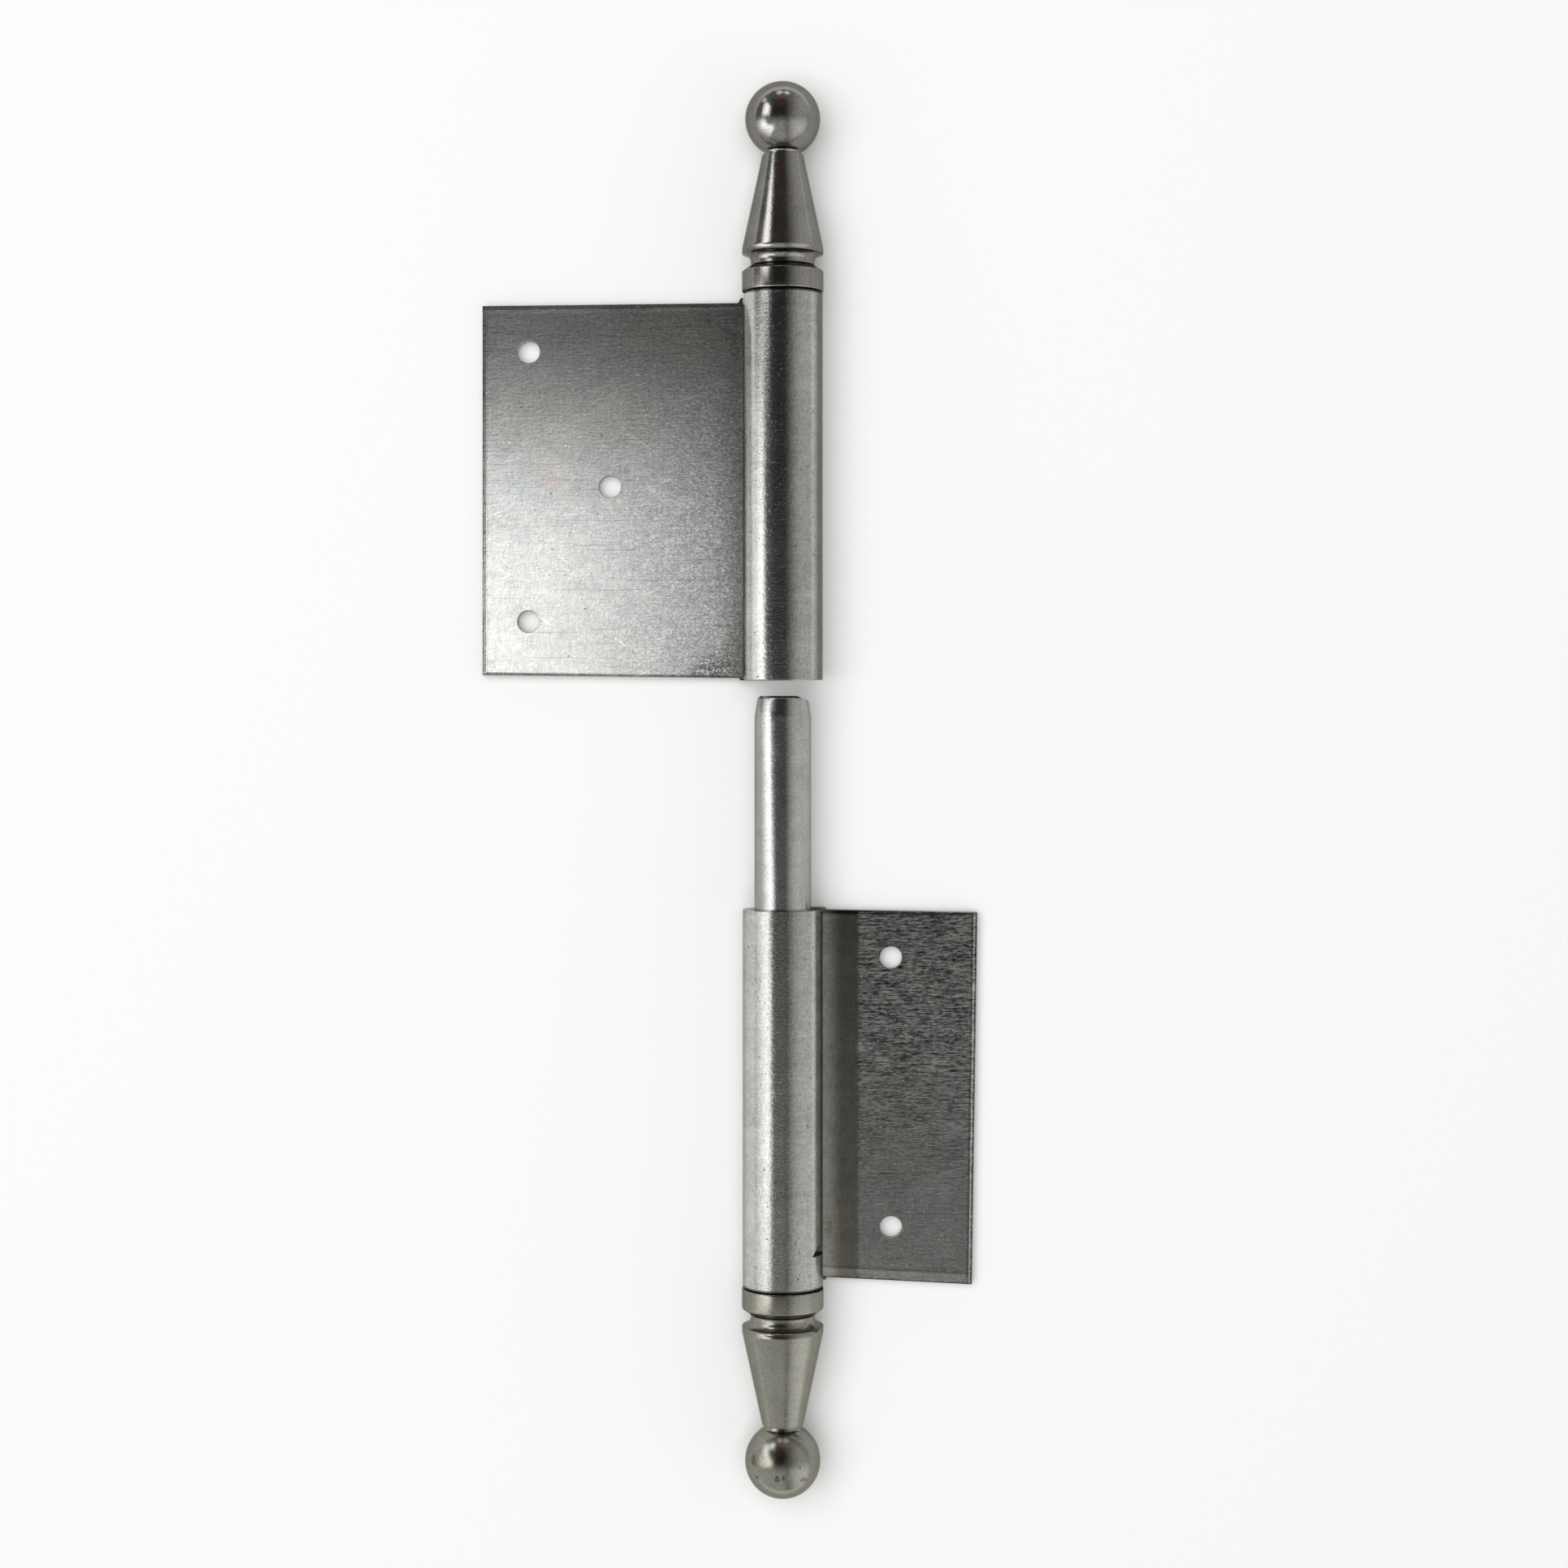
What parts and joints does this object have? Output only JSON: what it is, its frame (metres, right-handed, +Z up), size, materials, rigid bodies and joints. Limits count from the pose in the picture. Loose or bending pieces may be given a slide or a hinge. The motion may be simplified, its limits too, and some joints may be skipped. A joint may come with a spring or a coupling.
{
  "type": "mortise hinge",
  "caption": "Lift-off mortise hinge with a wide door leaf, a narrower frame leaf, rolled knuckles, a fixed pin and ball finials, shown lifted apart.",
  "frame": {"origin": "middle of the hinge's outline on the surface that it lies on, with the halves lifted apart", "axes": "+Y along the pin from the frame half to the door half, +Z up from the surface, +X towards the frame leaf's edge"},
  "size_m": [0.0996, 0.2822, 0.0163],
  "materials": {
    "door_leaf": "zinc-plated steel sheet, satin, with fine brushed streaks",
    "frame_leaf": "zinc-plated steel sheet, satin, with fine brushed streaks",
    "hinge_pin": "drawn steel bar, zinc-plated, satin",
    "upper_finial": "turned steel, zinc-plated, smooth and bright",
    "lower_finial": "turned steel, zinc-plated, smooth and bright"
  },
  "bodies": {
    "frame_half": {"frame_leaf": "frame_leaf", "lower_finial": "lower_finial"},
    "pin": {"hinge_pin": "hinge_pin"},
    "door_half": {"door_leaf": "door_leaf", "upper_finial": "upper_finial"}
  },
  "joints": [
    {"name": "swing", "type": "hinge", "parent": "frame_half", "child": "pin", "pos_m": [0.01065, 0, 0.00815], "axis": [0, 1, 0], "continuous": true},
    {"name": "lift", "type": "slide", "parent": "pin", "child": "door_half", "axis": [0, 1, 0], "range_m": [-0.0454, 0]}
  ]
}
